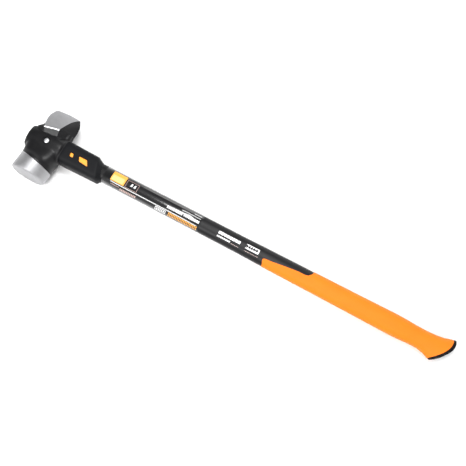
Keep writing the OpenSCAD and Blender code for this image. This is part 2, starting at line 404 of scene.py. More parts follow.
def forged_steel():
    """Drop-forged carbon steel, its poll and cheeks ground and the rest painted black.

    Grinding leaves fine lines that stretch highlights along them; the paint is a thin
    stoved enamel, so it is near black with a broad soft sheen and a slight orange peel.
    """
    material, tree, place = start_material("Forged steel, ground and enamelled")
    # Grinding lines 0.5 mm apart are too fine to show, so they are drawn 1.2 mm apart
    drawn_out = add(tree, "Mapping", {"Vector": place, "Scale": (1 / 14, 1, 1 / 14)})
    lines = add(tree, "TexNoise", {"Vector": drawn_out, "Scale": 1 / 1.2, "Detail": 3})
    cloud = add(tree, "TexNoise", {"Vector": place, "Scale": 1 / 11, "Detail": 2})
    peel = add(tree, "TexNoise", {"Vector": place, "Scale": 1 / 1.1, "Detail": 1})
    chips = add(tree, "TexNoise", {"Vector": place, "Scale": 1 / 2.5, "Detail": 3})
    # The paint stops at a slightly chipped line
    bare = add(tree, "Attribute", out="Fac", attribute_name="bare")
    line = add(
        tree, "Math", {0: bare, 1: summed(tree, (chips, -0.25, 0.25))}, operation="ADD"
    )
    ground = add(tree, "MapRange", {"Value": line, "From Min": -0.15, "From Max": 0.15})
    # The grinding is finest next to an edge, where the wheel rolls over
    polish = add(tree, "MapRange", {"Value": bare, "From Max": 4, "To Min": -0.16, "To Max": 0})
    wear = add(tree, "Mix", {0: 0.5, 2: lines, 3: cloud})
    steel = {0: wear, **shades(colours().steel, 0.7, 1.14)}
    steel = add(tree, "Mix", steel, 2, data_type="RGBA")
    paint = {0: cloud, **shades(colours().paint, 0.85, 1.2)}
    paint = add(tree, "Mix", paint, 2, data_type="RGBA")
    steel_rough = summed(tree, (lines, 0.44, 0.58), (cloud, -0.04, 0.06))
    steel_rough = add(tree, "Math", {0: steel_rough, 1: polish}, operation="ADD")
    paint_rough = summed(tree, (peel, 0.36, 0.44), (cloud, -0.04, 0.04))
    peel_height = add(tree, "Math", {0: peel, 1: 0.35}, operation="MULTIPLY")
    height = add(tree, "Mix", {0: ground, 2: peel_height, 3: lines})
    dents = add(tree, "Bump", {"Height": cloud, "Distance": 0.12 * MM})
    return finished(
        material,
        {
            "Base Color": add(tree, "Mix", {0: ground, 6: paint, 7: steel}, 2, data_type="RGBA"),
            "Metallic": ground,
            "Specular IOR Level": 0.28,
            "Roughness": add(tree, "Mix", {0: ground, 2: paint_rough, 3: steel_rough}),
            "Normal": add(
                tree, "Bump", {"Height": height, "Distance": 0.02 * MM, "Normal": dents}
            ),
        },
    )


def patterned(name, base, tones, rough, relief=None, surface=None):
    """Material whose colour, roughness and relief follow noise patterns.

    A pattern is the size of its lumps in mm, its detail, and how far it is drawn out along
    the handle. tones is a pattern with the factors that darken and lighten the colour,
    rough is patterns with the roughness that each adds, and relief is a pattern with its
    depth in mm.
    """
    material, tree, place = start_material(name)
    noise = {}
    for pattern in dict.fromkeys(row[0] for row in (tones, *rough)):
        size, detail, reach = pattern
        drawn_out = add(tree, "Mapping", {"Vector": place, "Scale": (1 / reach, 1, 1)})
        noise[pattern] = add(
            tree, "TexNoise", {"Vector": drawn_out, "Scale": 1 / size, "Detail": detail}
        )
    colour_range = {0: noise[tones[0]], **shades(base, *tones[1:])}
    inputs = {
        "Base Color": add(tree, "Mix", colour_range, 2, data_type="RGBA"),
        "Roughness": summed(tree, *((noise[row[0]], *row[1:]) for row in rough)),
    }
    if relief:
        height, depth = noise[relief[0]], relief[1] * MM
        inputs["Normal"] = add(tree, "Bump", {"Height": height, "Distance": depth})
    return finished(material, {**inputs, **(surface or {})})


def bright_steel():
    """Bright drawn steel pin with a peened, faintly marked end that catches the light."""
    marks = 1, 3, 1
    rough = [(marks, 0.36, 0.5)]
    tones = marks, 0.85, 1.05
    return patterned(
        "Bright drawn steel", colours().pin, tones, rough, (marks, 0.05), {"Metallic": 1}
    )


def moulded(name, base, roughness, size, depth, shine=0.5):
    """Moulded plastic or rubber: a fine even texture from the mould that softens gloss."""
    texture, cloud = (size, 3, 1), (18, 2, 1)
    rough = [(texture, *roughness), (cloud, -0.03, 0.03)]
    surface = {"Specular IOR Level": shine}
    return patterned(name, base, (cloud, 0.85, 1.15), rough, (texture, depth), surface)


def composite_shell():
    """Pultruded glass composite: satin black with long, very faint fibre lines."""
    # Fibre lines 0.3 mm apart are too fine to show, so they are drawn 0.9 mm apart
    fibres, cloud = (0.9, 3, 30), (22, 2, 1)
    return patterned(
        "Pultruded black composite",
        colours().shaft,
        (fibres, 0.8, 1.25),
        [(fibres, 0.4, 0.5), (cloud, -0.04, 0.04)],
        (fibres, 0.02),
        {"Specular IOR Level": 0.24},
    )


def label_film():
    """Glossy printed film: near black under a clear coat with sharp reflections."""
    ripple = 14, 1, 3
    return patterned(
        "Clear-coated label film",
        colours().label,
        (ripple, 0.9, 1.2),
        [(ripple, 0.3, 0.4)],
        (ripple, 0.03),
        {"Specular IOR Level": 0.2, "Coat Weight": 1, "Coat IOR": 1.6, "Coat Roughness": 0.08},
    )


def ink(name, base):
    """Screen-printed ink, with the film's clear coat over it and slightly uneven cover."""
    cover = 1.6, 3, 1
    coat = {"Coat Weight": 0.6, "Coat Roughness": 0.1}
    return patterned(name, base, (cover, 0.72, 1.1), [(cover, 0.35, 0.5)], surface=coat)


def soft_grip():
    """Overmoulded soft rubber: matte orange, with a fine pebbled texture and soft sheen."""
    # Mould texture of 0.3 mm pebbles is too fine to show, so it is drawn at 1 mm
    pebbles, cloud = (1, 2, 1), (16, 3, 2)
    return patterned(
        "Overmoulded soft-touch rubber",
        colours().grip,
        (cloud, 0.9, 1.08),
        [(pebbles, 0.55, 0.7)],
        (pebbles, 0.06),
        {"Specular IOR Level": 0.3},
    )


def studio_floor():
    """Matte white paper sweep, with the faintest mottling."""
    mottle = 40, 3, 1
    surface = {"Roughness": 0.9, "Specular IOR Level": 0.2}
    return patterned(
        "Matte studio paper", colours().floor, (mottle, 0.99, 1.01), [], surface=surface
    )


# ---------------------------------------------------------------- head

# Steps round half a ring, and those at the heel and the toe edge of the wedge's cheek
HALF_SIDES, HEEL, TOE = 64, 24, 44
EVEN_STEP = math.pi / HALF_SIDES
# Wedge along Y: toe and heel on the middle plane, toe and heel along the cheek, and lean
# as Y per X
WEDGE = [
    (3, -41.5, 33.5, -31, 27, 0),
    (14, -42, 35.3, -15.3, 14.5, 0.2),
    (24, -41.5, 35.4, -17.7, 12.3, 0.24),
    (27.5, -39, 35.5, -18.5, 11.5, 0.24),
    (33, -34.2, 35.6, -21, 12.3, 0.17),
    (41, -32.8, 35.7, -25, 13.8, 0.1),
    (55, -32, 34.5, -30, 16.8, 0.03),
    (63, -32, 33, -31.2, 19.5, 0),
    (75, -32, 26.5, -32, 26.5, 0),
]
# Where the wedge starts inside the barrel, where it comes out, and its ridge
WEDGE_Y = WEDGE[0][0]
ROOT_Y, ROOT_HALF = 14, 23.6
RIDGE_Y, RIDGE_HALF, RIDGE_LEAN = 27.5, 30, 0.24
EDGE_HALF = 0.5
BARREL_R = 26
BARREL_ROUND = 8
# The paint's edge on the poll, as Y at the middle, lean as Y per X, and bow
PAINT_Y, PAINT_LEAN, PAINT_BOW = -45.5, -0.19, -1.5
# How far the poll leans towards the top of the head, as X per Y, beyond its root
POLL_RAKE, POLL_ROOT = 0.1, -34
# Swell of the toe's flank at the ridge
TOE_SWELL = 6
# Width and height of the oval eye that takes the handle
EYE_SIZE = 41, 34


def paint_edge(x):
    """Y of the line where the poll's grinding ends and the paint starts."""
    return PAINT_Y + PAINT_LEAN * x + PAINT_BOW * (1 - (x / POLL_R) ** 2)


def edge_curve(x):
    """Y of the cutting edge: a long arc with a rounded toe corner."""
    radius, middle, toe_radius, toe = 170, 2, 10, -32
    y = EDGE_Y - radius + math.sqrt(radius**2 - (x - middle) ** 2)
    if x < toe + toe_radius:
        corner = EDGE_Y - radius + math.sqrt(radius**2 - (toe + toe_radius - middle) ** 2)
        drop = math.sqrt(max(toe_radius**2 - (toe + toe_radius - x) ** 2, 0))
        y = corner - toe_radius + drop
    return y


def polygon_reach(points, angle):
    """Distance from the middle to a section's outline along an angle."""
    direction = Vector((math.cos(angle), math.sin(angle)))
    reach = 0
    for p, q in zip(points, points[1:]):
        p, q = Vector(p), Vector(q)
        side = q - p
        cross = direction.x * side.y - direction.y * side.x
        if abs(cross) < 1e-9:
            continue
        along = (p.x * side.y - p.y * side.x) / cross
        share = (p.x * direction.y - p.y * direction.x) / cross
        if along > 0 and -1e-6 <= share <= 1 + 1e-6:
            reach = max(reach, along)
    return reach


def oval_reach(low, high, half, roundness, angle):
    """Distance to a rounded box from low to high along X and half to each side."""
    c, s = abs(math.cos(angle)), abs(math.sin(angle))
    end = high if math.cos(angle) > 0 else -low
    return (
        (c / max(end, 0.01)) ** roundness + (s / max(half, 0.01)) ** roundness
    ) ** (-1 / roundness)


def blended(values, radius):
    """Largest of some distances, with a fillet where two are about equal."""
    result = values[0]
    for value in values[1:]:
        near = max(0, 1 - abs(result - value) / radius)
        result = max(result, value) + radius / 4 * near * near
    return result


def poll_reach(x, y):
    """Radius of the poll and its painted root at a point."""
    past = y - paint_edge(x)
    step = sizes().paint_step / MM
    radius = POLL_R - step * ease((past + 0.5) / 1.4)
    return radius - 18 * ease((past - 4) / 20)


def body_reach(x, y, angle):
    """Distance to the painted body at a point: poll, neck and eye barrel, blended."""
    parts = []
    if y < -20:
        parts.append(poll_reach(x, y))
    # The neck is an oval that squares up towards the barrel and sinks into it beyond
    grow = ease((y + 52) / 40)
    parts.append(
        oval_reach(
            mix(-34, -37.4, grow),
            mix(33.2, 33.6, grow),
            mix(32, 25.2, ease((y + 54) / 48)) - 12 * ease((y - 9) / 16),
            mix(2, 4.5, grow),
            angle,
        )
    )
    # The barrel is a drum along the handle, round-cornered at the head's top
    if abs(y) < BARREL_R:
        straight = BARREL_R - BARREL_ROUND
        side = math.sqrt(BARREL_R**2 - y**2)
        rounded = max(abs(y) - straight, 0) / BARREL_ROUND
        top = HEAD_TOP + BARREL_ROUND * (1 - math.sqrt(max(1 - rounded**2, 0)))
        parts.append(oval_reach(top, HEAD_END, side, 10 if math.cos(angle) > 0 else 8, angle))
    return blended(parts, 4)


def point_angles(heel_angle, toe_angle):
    """Angles of a ring's points over the upper half, from the heel to the toe."""
    angles = []
    for k in range(HALF_SIDES + 1):
        if k <= HEEL:
            angles.append(heel_angle * k / HEEL)
        elif k <= TOE:
            angles.append(mix(heel_angle, toe_angle, (k - HEEL) / (TOE - HEEL)))
        else:
            share = (k - TOE) / (HALF_SIDES - TOE)
            angles.append(mix(toe_angle, math.pi, share))
    return angles


def whole_ring(upper):
    """Full ring from its upper half, mirrored to the lower cheek, with the poll raked back."""
    upper = [(x - POLL_RAKE * max(POLL_ROOT - y, 0), y, z) for x, y, z in upper]
    lower = [(x, y, -z) for x, y, z in upper[-2:0:-1]]
    return [at(*p) for p in upper + lower]


def body_ring(y, lean=0.0, bow=0.0):
    """Ring of the poll, neck, barrel and the wedge's root round Y."""
    toe_mid, heel_mid, toe_top, heel_top, wedge_lean = through(WEDGE, max(y, WEDGE_Y))
    half = mix(ROOT_HALF, RIDGE_HALF, max(0, y - ROOT_Y) / (RIDGE_Y - ROOT_Y))
    grow = ease((y + 40) / 43)
    heel_angle = mix(HEEL * EVEN_STEP, math.atan2(half, heel_top), grow)
    toe_angle = mix(TOE * EVEN_STEP, math.atan2(half, toe_top), grow)
    if y > WEDGE_Y:
        lean = wedge_lean
    outline = [(heel_mid, 0), (heel_top, half), (toe_top, half)]
    outline += [toe_flank(toe_mid, toe_top, half, share, TOE_SWELL) for share in steps(0, 1, 8)[1:]]
    upper = []
    for angle in point_angles(heel_angle, toe_angle):
        reach = 30
        for _ in range(4):
            x = reach * math.cos(angle)
            here = y + lean * x + bow * (1 - (x / POLL_R) ** 2)
            reach = body_reach(x, here, angle)
            if y >= WEDGE_Y:
                # The wedge rises out of the barrel in a sharp-edged step
                fillet = mix(4, 1.8, ease((y - WEDGE_Y) / 9))
                reach = blended([reach, polygon_reach(outline, angle)], fillet)
        upper.append((reach * math.cos(angle), here, reach * math.sin(angle)))
    return whole_ring(upper)


def toe_flank(toe_mid, toe_top, half, share, swell):
    """Point (x, z) on the toe's flank, from the cheek at 0 to the middle plane at 1."""
    out = swell * math.sin(math.pi * share)
    return mix(toe_top, toe_mid, share) - out, half * (1 - share) + 0.7 * out


def cheek_height(x, y):
    """Half thickness of the wedge at a point: a ground cheek, very slightly crowned."""
    start = RIDGE_Y + RIDGE_LEAN * x
    t = min(max((y - start) / (edge_curve(x) - start), 0), 1)
    crown = 1.6 * 4 * t * (1 - t)
    return mix(RIDGE_HALF, EDGE_HALF, t) + crown


def wedge_ring(y):
    """Ring of the wedge round Y, beyond its ridge."""
    toe_mid, heel_mid, toe_top, heel_top, lean = through(WEDGE, y)
    t = (y - RIDGE_Y) / (EDGE_Y - RIDGE_Y)

    def raised(x):
        start = y + lean * x
        return start + (edge_curve(x) - EDGE_Y) * t**3

    upper = []
    corner_y = raised(heel_top)
    corner_z = cheek_height(heel_top, corner_y)
    for k in range(HEEL):
        share = k / HEEL
        x = mix(heel_mid, heel_top, share)
        bend = math.sin(math.pi * share) * 0.8 * (1 - t)
        upper.append((x + bend, raised(x), corner_z * share))
    for k in range(HEEL, TOE + 1):
        x = mix(heel_top, toe_top, (k - HEEL) / (TOE - HEEL))
        upper.append((x, raised(x), cheek_height(x, raised(x))))
    corner_z = cheek_height(toe_top, raised(toe_top))
    swell = TOE_SWELL * (1 - ease((y - RIDGE_Y) / 9)) + 0.6 * (1 - t)
    for k in range(TOE + 1, HALF_SIDES + 1):
        share = (k - TOE) / (HALF_SIDES - TOE)
        x, z = toe_flank(toe_mid, toe_top, corner_z, share, swell)
        upper.append((x, raised(x), z))
    return whole_ring(upper)


def face_ring(radius, y):
    """Round ring of the striking face."""
    angles = point_angles(HEEL * EVEN_STEP, TOE * EVEN_STEP)
    return whole_ring([(radius * math.cos(a), y, radius * math.sin(a)) for a in angles])


def head_body():
    """Forged head as one skin along Y, from the striking face to the cutting edge."""
    bm = bmesh.new()
    rounding = sizes().face_round / MM
    rings = [face_ring(r, FACE_Y) for r in (1, 9, 18, POLL_R - rounding)]
    for a in steps(0, 90, 10)[1:]:
        a = math.radians(a)
        out = POLL_R - rounding + rounding * math.sin(a)
        rings.append(face_ring(out, FACE_Y + rounding - rounding * math.cos(a)))
    for share in (0.3, 0.6, 0.85):
        rings.append(
            body_ring(
                mix(FACE_Y + rounding, PAINT_Y - 2, share), PAINT_LEAN * share, PAINT_BOW * share
            )
        )
    # Close together where the ground poll steps down to the paint
    for past in (-1.2, -0.6, -0.3, 0, 0.3, 0.6, 0.9, 1.3, 2.2, 4):
        rings.append(body_ring(PAINT_Y + past, PAINT_LEAN, PAINT_BOW))
    for y, lean in ((-38.5, -0.15), (-35.5, -0.1), (-32.5, -0.05), (-29.5, -0.02)):
        rings.append(body_ring(y, lean, PAINT_BOW * lean / PAINT_LEAN))
    rings += [body_ring(y) for y in steps(-27, WEDGE_Y, 24)]
    for a, b in ((WEDGE_Y, ROOT_Y), (ROOT_Y, RIDGE_Y)):
        rings += [body_ring(y) for y in steps(a, b, 12)[1:]]
    for y in [*steps(RIDGE_Y + 1.4, 72, 24), 73.5, EDGE_Y - 0.01]:
        rings.append(wedge_ring(y))
    loft(bm, rings)
    return bm


def bareness(x, y):
    """Distance in mm from the nearest paint edge, positive on ground steel."""
    if y < 0:
        return paint_edge(x) - y
    toe_top, heel_top = through(WEDGE, min(max(y - 0.1 * x, RIDGE_Y), EDGE_Y))[2:4]
    over_ridge = y - (RIDGE_Y + RIDGE_LEAN * x) + 2.2
    return min(over_ridge, heel_top - x + 0.5, x - toe_top + mix(0.5, 6, ease((y - 27) / 6)))


class MAUL_OT_head(bpy.types.Operator):
    """Forged head: poll, eye barrel and wedge, with its eye and pin seats cut out"""

    bl_idname = "maul.head"
    bl_label = "Head"

    def execute(self, context):
        head = piece("maul_head_forging", head_body())
        eye = bar((HEAD_TOP - 5, *EYE_SIZE), (HEAD_END + 5, *EYE_SIZE))
        bore, seat, seat_floor, outside = 5.25, 7.5, 24, 40
        profile = [(seat + 0.2, -outside), (seat, -seat_floor), (bore, -seat_floor)]
        profile += [(r, -z) for r, z in reversed(profile)]
        cut(head, 30, eye, turned(profile))
        bare = head.data.attributes.new("bare", "FLOAT", "POINT")
        for i, vertex in enumerate(head.data.vertices):
            x, y, _ = (vertex.co - EYE) / MM
            bare.data[i].value = min(max(bareness(x, y), -20), 20)
        hand_over(head, "maul_head", forged_steel())
        return {"FINISHED"}


class MAUL_OT_pin(bpy.types.Operator):
    """Steel cross pin with domed, lightly chamfered ends"""

    bl_idname = "maul.pin"
    bl_label = "Cross pin"

    def execute(self, context):
        radius, half = span("cross_pin", 0)[1], span("cross_pin", 2)[1]
        end = [(0.4, 0), (1.6, 0.08), (3, 0.3), (4.2, 0.75), (4.9, 1.2), (radius, 1.7)]
        profile = [(r, -half + drop) for r, drop in end]
        profile += [(r, half - drop) for r, drop in reversed(end)]
        made = piece("cross_pin_ends", turned(profile))
        hand_over(made, "cross_pin", bright_steel())
        return {"FINISHED"}


# ---------------------------------------------------------------- collar end


class MAUL_OT_eye_cap(bpy.types.Operator):
    """Plug that closes the eye at the top of the head"""

    bl_idname = "maul.eye_cap"
    bl_label = "Eye cap"

    def execute(self, context):
        rows = [
            (HEAD_TOP + 4, 39.4, 32.4),
            (HEAD_TOP + 3.4, 40.6, 33.6),
            (HEAD_TOP + 0.6, 40.8, 33.8),
            (HEAD_TOP + 0.1, 40.2, 33.2),
            (HEAD_TOP - 0.1, 37.6, 30.6),
            (HEAD_TOP - 0.6, 37, 30),
            (TOOL_TOP + 0.4, 36, 29),
            (TOOL_TOP + 0.1, 34.6, 27.6),
            (TOOL_TOP, 32, 25),
            (TOOL_TOP + 0.2, 24, 17),
            (TOOL_TOP + 0.3, 12, 7),
        ]
        made = piece("eye_cap_plug", bar(*rows))
        finish = moulded("Moulded black nylon", colours().cap, (0.38, 0.5), 0.9, 0.03)
        hand_over(made, "eye_cap", finish)
        return {"FINISHED"}


# Windows in the collar's cheeks, as corners (x, y)
WINDOWS = (
    [
        (53.6, 1.6), (54.8, 2.4), (59.4, 2.4), (60.6, 1.4),
        (62.4, -4.4), (61.6, -5.6), (56, -5.6), (54.8, -4.6),
    ],
    [
        (72.6, 2), (73.6, 3.2), (89.4, 3.4), (90.8, 2.6),
        (96.8, -7.2), (96, -8.2), (77.8, -6.4), (76.4, -5.4),
    ],
)
# Where the sleeve ends inside the collar
SLEEVE_END = 96.4
# Strike collar along X: width, height, roundness, lean as X per Y
COLLAR = [
    (36.5, 47.4, 40.4, 3.5, 0),
    (37.3, 48.6, 41.6, 3.5, 0),
    (38.5, 49, 42, 3.5, 0),
    (56.5, 48.5, 41.5, 3.5, -0.12),
    (85, 47.2, 40.6, 3.5, -0.28),
    (111.5, 46.6, 40.1, 3.5, -0.385),
    (113.3, 46.2, 39.7, 3.4, -0.385),
    (114.6, 45.3, 38.8, 3.3, -0.385),
    (115.8, 43.9, 37.4, 3.1, -0.385),
    (121.6, 36.8, 29.8, 2.4, -0.385),
    (122.8, 35.9, 28.9, 2.3, -0.385),
    (123.6, 35.1, 28.1, 2.3, -0.385),
]


def collar_top(x, y):
    """Height of the collar's cheek at a point."""
    w, h, roundness, _ = through(COLLAR, min(max(x, 38.5), 110))
    return h / 2 * (1 - abs(2 * y / w) ** roundness) ** (1 / roundness)


class MAUL_OT_collar(bpy.types.Operator):
    """Strike collar with its windows, and the seal ring against the head"""

    bl_idname = "maul.collar"
    bl_label = "Strike collar"

    def execute(self, context):
        bm = bmesh.new()
        rings = []
        for a, b in zip(COLLAR, COLLAR[1:]):
            for x in steps(a[0], b[0], max(1, round((b[0] - a[0]) / 4)))[:-1]:
                rings.append(bar_ring(x, *through(COLLAR, x)))
        rings.append(bar_ring(COLLAR[-1][0], *COLLAR[-1][1:]))
        loft(bm, rings)
        made = piece("strike_collar_guard", bm)
        sleeve = bar((30, *EYE_SIZE), (SLEEVE_END, *EYE_SIZE))
        bore = bar((30, SHAFT_W + 0.05, SHAFT_H + 0.05), (140, SHAFT_W + 0.05, SHAFT_H + 0.05))
        rim = sizes().window_rim / MM
        openings = []
        for outline in WINDOWS:
            top = collar_top(sum(x for x, y in outline) / len(outline), -2)
            for side in (1, -1):
                levels = (10, 0), (top - rim, 0), (top + 1.5, rim * 2)
                openings.append(prism(outline, *((side * z, grow) for z, grow in levels)))
        cut(made, 30, sleeve, bore, *openings)
        finish = moulded(
            "Moulded impact rubber", colours().collar, (0.5, 0.62), 0.9, 0.05, shine=0.16
        )
        hand_over(made, "strike_collar", finish)

        bm = bmesh.new()
        outside = [
            (RING_START, 45.6),
            (RING_START + 0.4, 46.6),
            (RING_END - 0.4, 46.6),
            (RING_END, 45.8),
        ]
        rings = [bar_ring(x, w, w - 5.6, 3.5) for x, w in outside]
        rings += [bar_ring(x, 41.05, 34.05) for x in (RING_END, RING_START)]
        loft(bm, rings, closed=True)
        made = piece("seal_ring_band", bm)
        finish = moulded("Moulded black rubber", colours().seal, (0.6, 0.75), 0.9, 0.03)
        hand_over(made, "seal_ring", finish)
        return {"FINISHED"}


class MAUL_OT_sleeve(bpy.types.Operator):
    """Orange elastomer sleeve, with the pads that fill the collar's windows"""

    bl_idname = "maul.sleeve"
    bl_label = "Isolation sleeve"

    def execute(self, context):
        bm = bmesh.new()
        low, high = span("isolation_sleeve", 0)[0], SLEEVE_END - 0.1
        rings = [bar_ring(x, 40.9, 33.9) for x in (low, high)]
        rings += [bar_ring(x, SHAFT_W + 0.1, SHAFT_H + 0.1) for x in (high, low)]
        loft(bm, rings, closed=True)
        sink = sizes().pad_sink / MM
        # Each pad from its foot on the sleeve up to its slightly crowned top
        for outline in WINDOWS:
            for side in (1, -1):
                rings = [[at(x, y, side * 17.05) for x, y in shrunk(outline, 0.25)]]
                for inset, depth in ((0.25, 0.9), (0.4, 0.35), (0.8, 0.1), (1.4, 0), (2.4, -0.1)):
                    drop = sink + depth
                    corners = shrunk(outline, inset)
                    rings.append([at(x, y, side * (collar_top(x, y) - drop)) for x, y in corners])
                loft(bm, rings)
        made = piece("isolation_sleeve_pads", bm)
        cut(made, 35, pin_bore())
        finish = moulded("Moulded orange elastomer", colours().pads, (0.45, 0.6), 1.2, 0.05)
        hand_over(made, "isolation_sleeve", finish)
        return {"FINISHED"}


# ---------------------------------------------------------------- shaft

GRIP_START, TONGUE_END = 486, 581
# Where the shaft starts to swell towards the tongue
SWELL_START = 426
# End of the cap on the handle's axis before its bulge, and its lean as X per Y
CAP_END, CAP_LEAN = 852.85, 0.53
# Grip along X: width, height, lean as X per Y, bulge
GRIP = [
    (482, 36, 29, 0, 0),
    (486, 37, 30, 0, 0),
    (581, 38, 30.5, 0, 0),
    (676, 39.6, 31.5, 0, 0),
    (747.9, 41.2, 32.5, 0, 0),
    (768.9, 40.4, 32.2, 0.053, 0),
    (790.9, 37.8, 31.6, 0.13, 0),
    (808.9, 37.4, 31.6, 0.32, 0.3),
    (822.9, 39.6, 32.2, 0.48, 1.5),
    (834.9, 44.6, 33.2, 0.53, 4),
    (842.4, 49.8, 34, 0.53, 7.2),
    (847.4, 53, 34.6, 0.53, 10),
]
# Outline of the black tongue that the grip leaves open, as corners (x, y)
TONGUE = [
    (486.6, -25), (486, -16), (483.4, -10), (483.6, -7), (487, -5.3),
    (500, -4.4), (527, -0.8), (553, 2.4), (567, 2.6), (573.5, 4.2),
    (579, 11), (581, 20), (581, 30), (470, 30), (470, -25),
]


class MAUL_OT_shaft(bpy.types.Operator):
    """Black composite shell of the shaft, swelling into the tongue under the grip"""

    bl_idname = "maul.shaft"
    bl_label = "Shaft"

    def execute(self, context):
        skin = sizes().grip_skin / MM
        rows = [
            (SHELL_START, SHAFT_W - 1, SHAFT_H - 1),
            (SHELL_START + 0.8, SHAFT_W, SHAFT_H),
            (SWELL_START, SHAFT_W, SHAFT_H),
            (GRIP_START - 3, 36.9 - 2 * skin, 29.9 - 2 * skin),
            (GRIP_START + 2, 37.06 - 2 * skin, 30.06 - 2 * skin),
            (TONGUE_END + 3, 38 - 2 * skin, 30.5 - 2 * skin),
            (TONGUE_END + 6, 31.5, 24.5),
            (SHELL_END, 31.5, 24.5),
        ]
        fine = []
        for (x0, w0, h0), (x1, w1, h1) in zip(rows, rows[1:]):
            for t in steps(0, 1, max(1, round((x1 - x0) / 24)))[:-1]:
                bend = ease(t) if x0 == SWELL_START else t
                fine.append((mix(x0, x1, t), mix(w0, w1, bend), mix(h0, h1, bend)))
        made = piece("shaft_outer_shell", bar(*fine, rows[-1]))
        bore = bar((SHELL_START - 5, 25.05, 18.05), (SHELL_END + 5, 25.05, 18.05))
        cut(made, 30, bore, pin_bore())
        hand_over(made, "shaft_shell", composite_shell())
        return {"FINISHED"}


class MAUL_OT_label(bpy.types.Operator):
    """Glossy label film wrapped round the shaft"""

    bl_idname = "maul.label"
    bl_label = "Label"

    def execute(self, context):
        film = sizes().film / MM
        bm = bmesh.new()
        # The film thins out over its last half millimetre
        thick, thin, edge = 2 * film, 0.4 * film, 0.5
        places = [(LABEL_START, thin)]
        places += [(x, thick) for x in steps(LABEL_START + edge, LABEL_END - edge, 7)]
        places += [(LABEL_END, thin), (LABEL_END, 0.02), (LABEL_START, 0.02)]
        loft(bm, [bar_ring(x, SHAFT_W + t, SHAFT_H + t) for x, t in places], closed=True)
        made = piece("label_film", bm)
        hand_over(made, "label_wrap", label_film())
        return {"FINISHED"}


def skin_point(x, along, lift):
    """Point on the shaft's skin, along mm round it from the middle of the upper cheek."""
    swell = 1.7 * ease((x - SWELL_START) / (GRIP_START - 3 - SWELL_START))
    w, h = SHAFT_W + swell + 2 * lift, SHAFT_H + swell + 2 * lift
    travelled, previous, y, z = 0, (0, h / 2), 0, h / 2
    direction = 1 if along >= 0 else -1
    for i in range(1, 400):
        a = math.pi / 2 - direction * math.pi * i / 400
        y, z = oval_point(w, h, a)
        step = math.dist(previous, (y, z))
        if travelled + step >= abs(along):
            share = (abs(along) - travelled) / step
            y, z = mix(previous[0], y, share), mix(previous[1], z, share)
            break
        travelled, previous = travelled + step, (y, z)
    return at(x, y, z)


def print_block(bm, x0, x1, low, high, lift, slant=0.0):
    """One printed block on the shaft's skin, between two places along and round it."""
    columns = max(1, round((x1 - x0) / 6))
    rows = max(2, round((high - low) / 1.2))
    made = bmesh.ops.create_grid(bm, x_segments=columns, y_segments=rows, size=0.5)
    thick = sizes().ink / MM
    for v in made["verts"]:
        x = mix(x0, x1, v.co.x + 0.5)
        around = mix(low, high, v.co.y + 0.5)
        v.co = skin_point(x + slant * (around - low) * (1 - (v.co.x + 0.5)), around, lift + thick)
    faces = list({f for v in made["verts"] for f in v.link_faces})
    bmesh.ops.recalc_face_normals(bm, faces=faces)


def dashes(bm, x0, x1, low, high, lift, width=3.2, gap=1.1):
    """A row of short plain blocks."""
    count = max(1, round((x1 - x0 + gap) / (width + gap)))
    pitch = (x1 - x0 + gap) / count
    for i in range(count):
        start = x0 + i * pitch
        print_block(bm, start, start + pitch - gap, low, high, lift)


def frame_lines(bm, x0, x1, low, high, line, lift):
    """An open rectangle of thin printed lines."""
    print_block(bm, x0, x1, low, low + line, lift)
    print_block(bm, x0, x1, high - line, high, lift)
    print_block(bm, x0, x0 + line, low + line, high - line, lift)
    print_block(bm, x1 - line, x1, low + line, high - line, lift)


def print_piece(name, bm, base):
    """Turns printed blocks into one thin closed piece that rides on the label."""
    bmesh.ops.solidify(bm, geom=bm.faces[:], thickness=sizes().ink * 0.9)
    made = piece(name, bm)
    made.data.materials.append(ink("Screen-printed ink, " + name.split("_")[1], base))
    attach(made, "root")


class MAUL_OT_print(bpy.types.Operator):
    """Plain printed blocks on the label and the shaft in three inks, with a paler block over the
    orange print as a painted highlight
    """

    bl_idname = "maul.print"
    bl_label = "Print"

    def execute(self, context):
        film = sizes().film / MM
        bm = bmesh.new()
        print_block(bm, 147.5, 177.5, -7.4, 13.2, film)
        dashes(bm, 281, 343, -20, -16.4, film, 1.7, 1.7)
        dashes(bm, 281, 343, -15.2, -11.6, film, 2.1, 1.3)
        print_piece("print_orange", bm, colours().orange_ink)
        # Paler block inside the orange panel: a painted highlight that stands for glare on the
        # glossy label
        bm = bmesh.new()
        print_block(bm, 149.5, 174.5, -6, 5.5, film + sizes().ink / MM)
        print_piece("print_pale", bm, colours().highlight_ink)
        bm = bmesh.new()
        for start in (189.5, 196.5):
            print_block(bm, start, start + 4.5, -1.6, 4.6, film, 0.3)
        frame_lines(bm, 252, 275, -20, -12, 1.2, film)
        dashes(bm, 255, 272, -17.6, -14.4, film, 2.4, 1.4)
        dashes(bm, 273.5, 307, -5.4, -0.4, film, 2.6, 0.9)
        dashes(bm, 310, 343, -5, 0, film, 2.6, 0.9)
        print_block(bm, 302.5, 343, 4.6, 5.6, film)
        print_block(bm, 327, 343, 9.6, 10.5, film)
        dashes(bm, 385.5, 437.5, -2.9, 2.6, 0, 5.2, 1)
        dashes(bm, 385, 413, -9.2, -6.2, 0, 2.6, 0.8)
        frame_lines(bm, 441, 471.5, -4.8, 5, 1.5, 0)
        dashes(bm, 442.5, 470, -3.3, -1.2, 0, 3.6, 1.6)
        dashes(bm, 442.5, 470, 1.4, 3.5, 0, 2.2, 2.8)
        print_piece("print_white", bm, colours().white_ink)
        bm = bmesh.new()
        frame_lines(bm, 180.5, 206, -7.6, 8.6, 0.6, film)
        dashes(bm, 152, 170, -14.6, -13, film, 1.8, 1)
        dashes(bm, 173, 208, -19.4, -14.6, film, 2.2, 1.3)
        dashes(bm, 416, 473, -10, -9.2, 0, 2.2, 1.2)
        print_piece("print_dim", bm, colours().dim_ink)
        return {"FINISHED"}


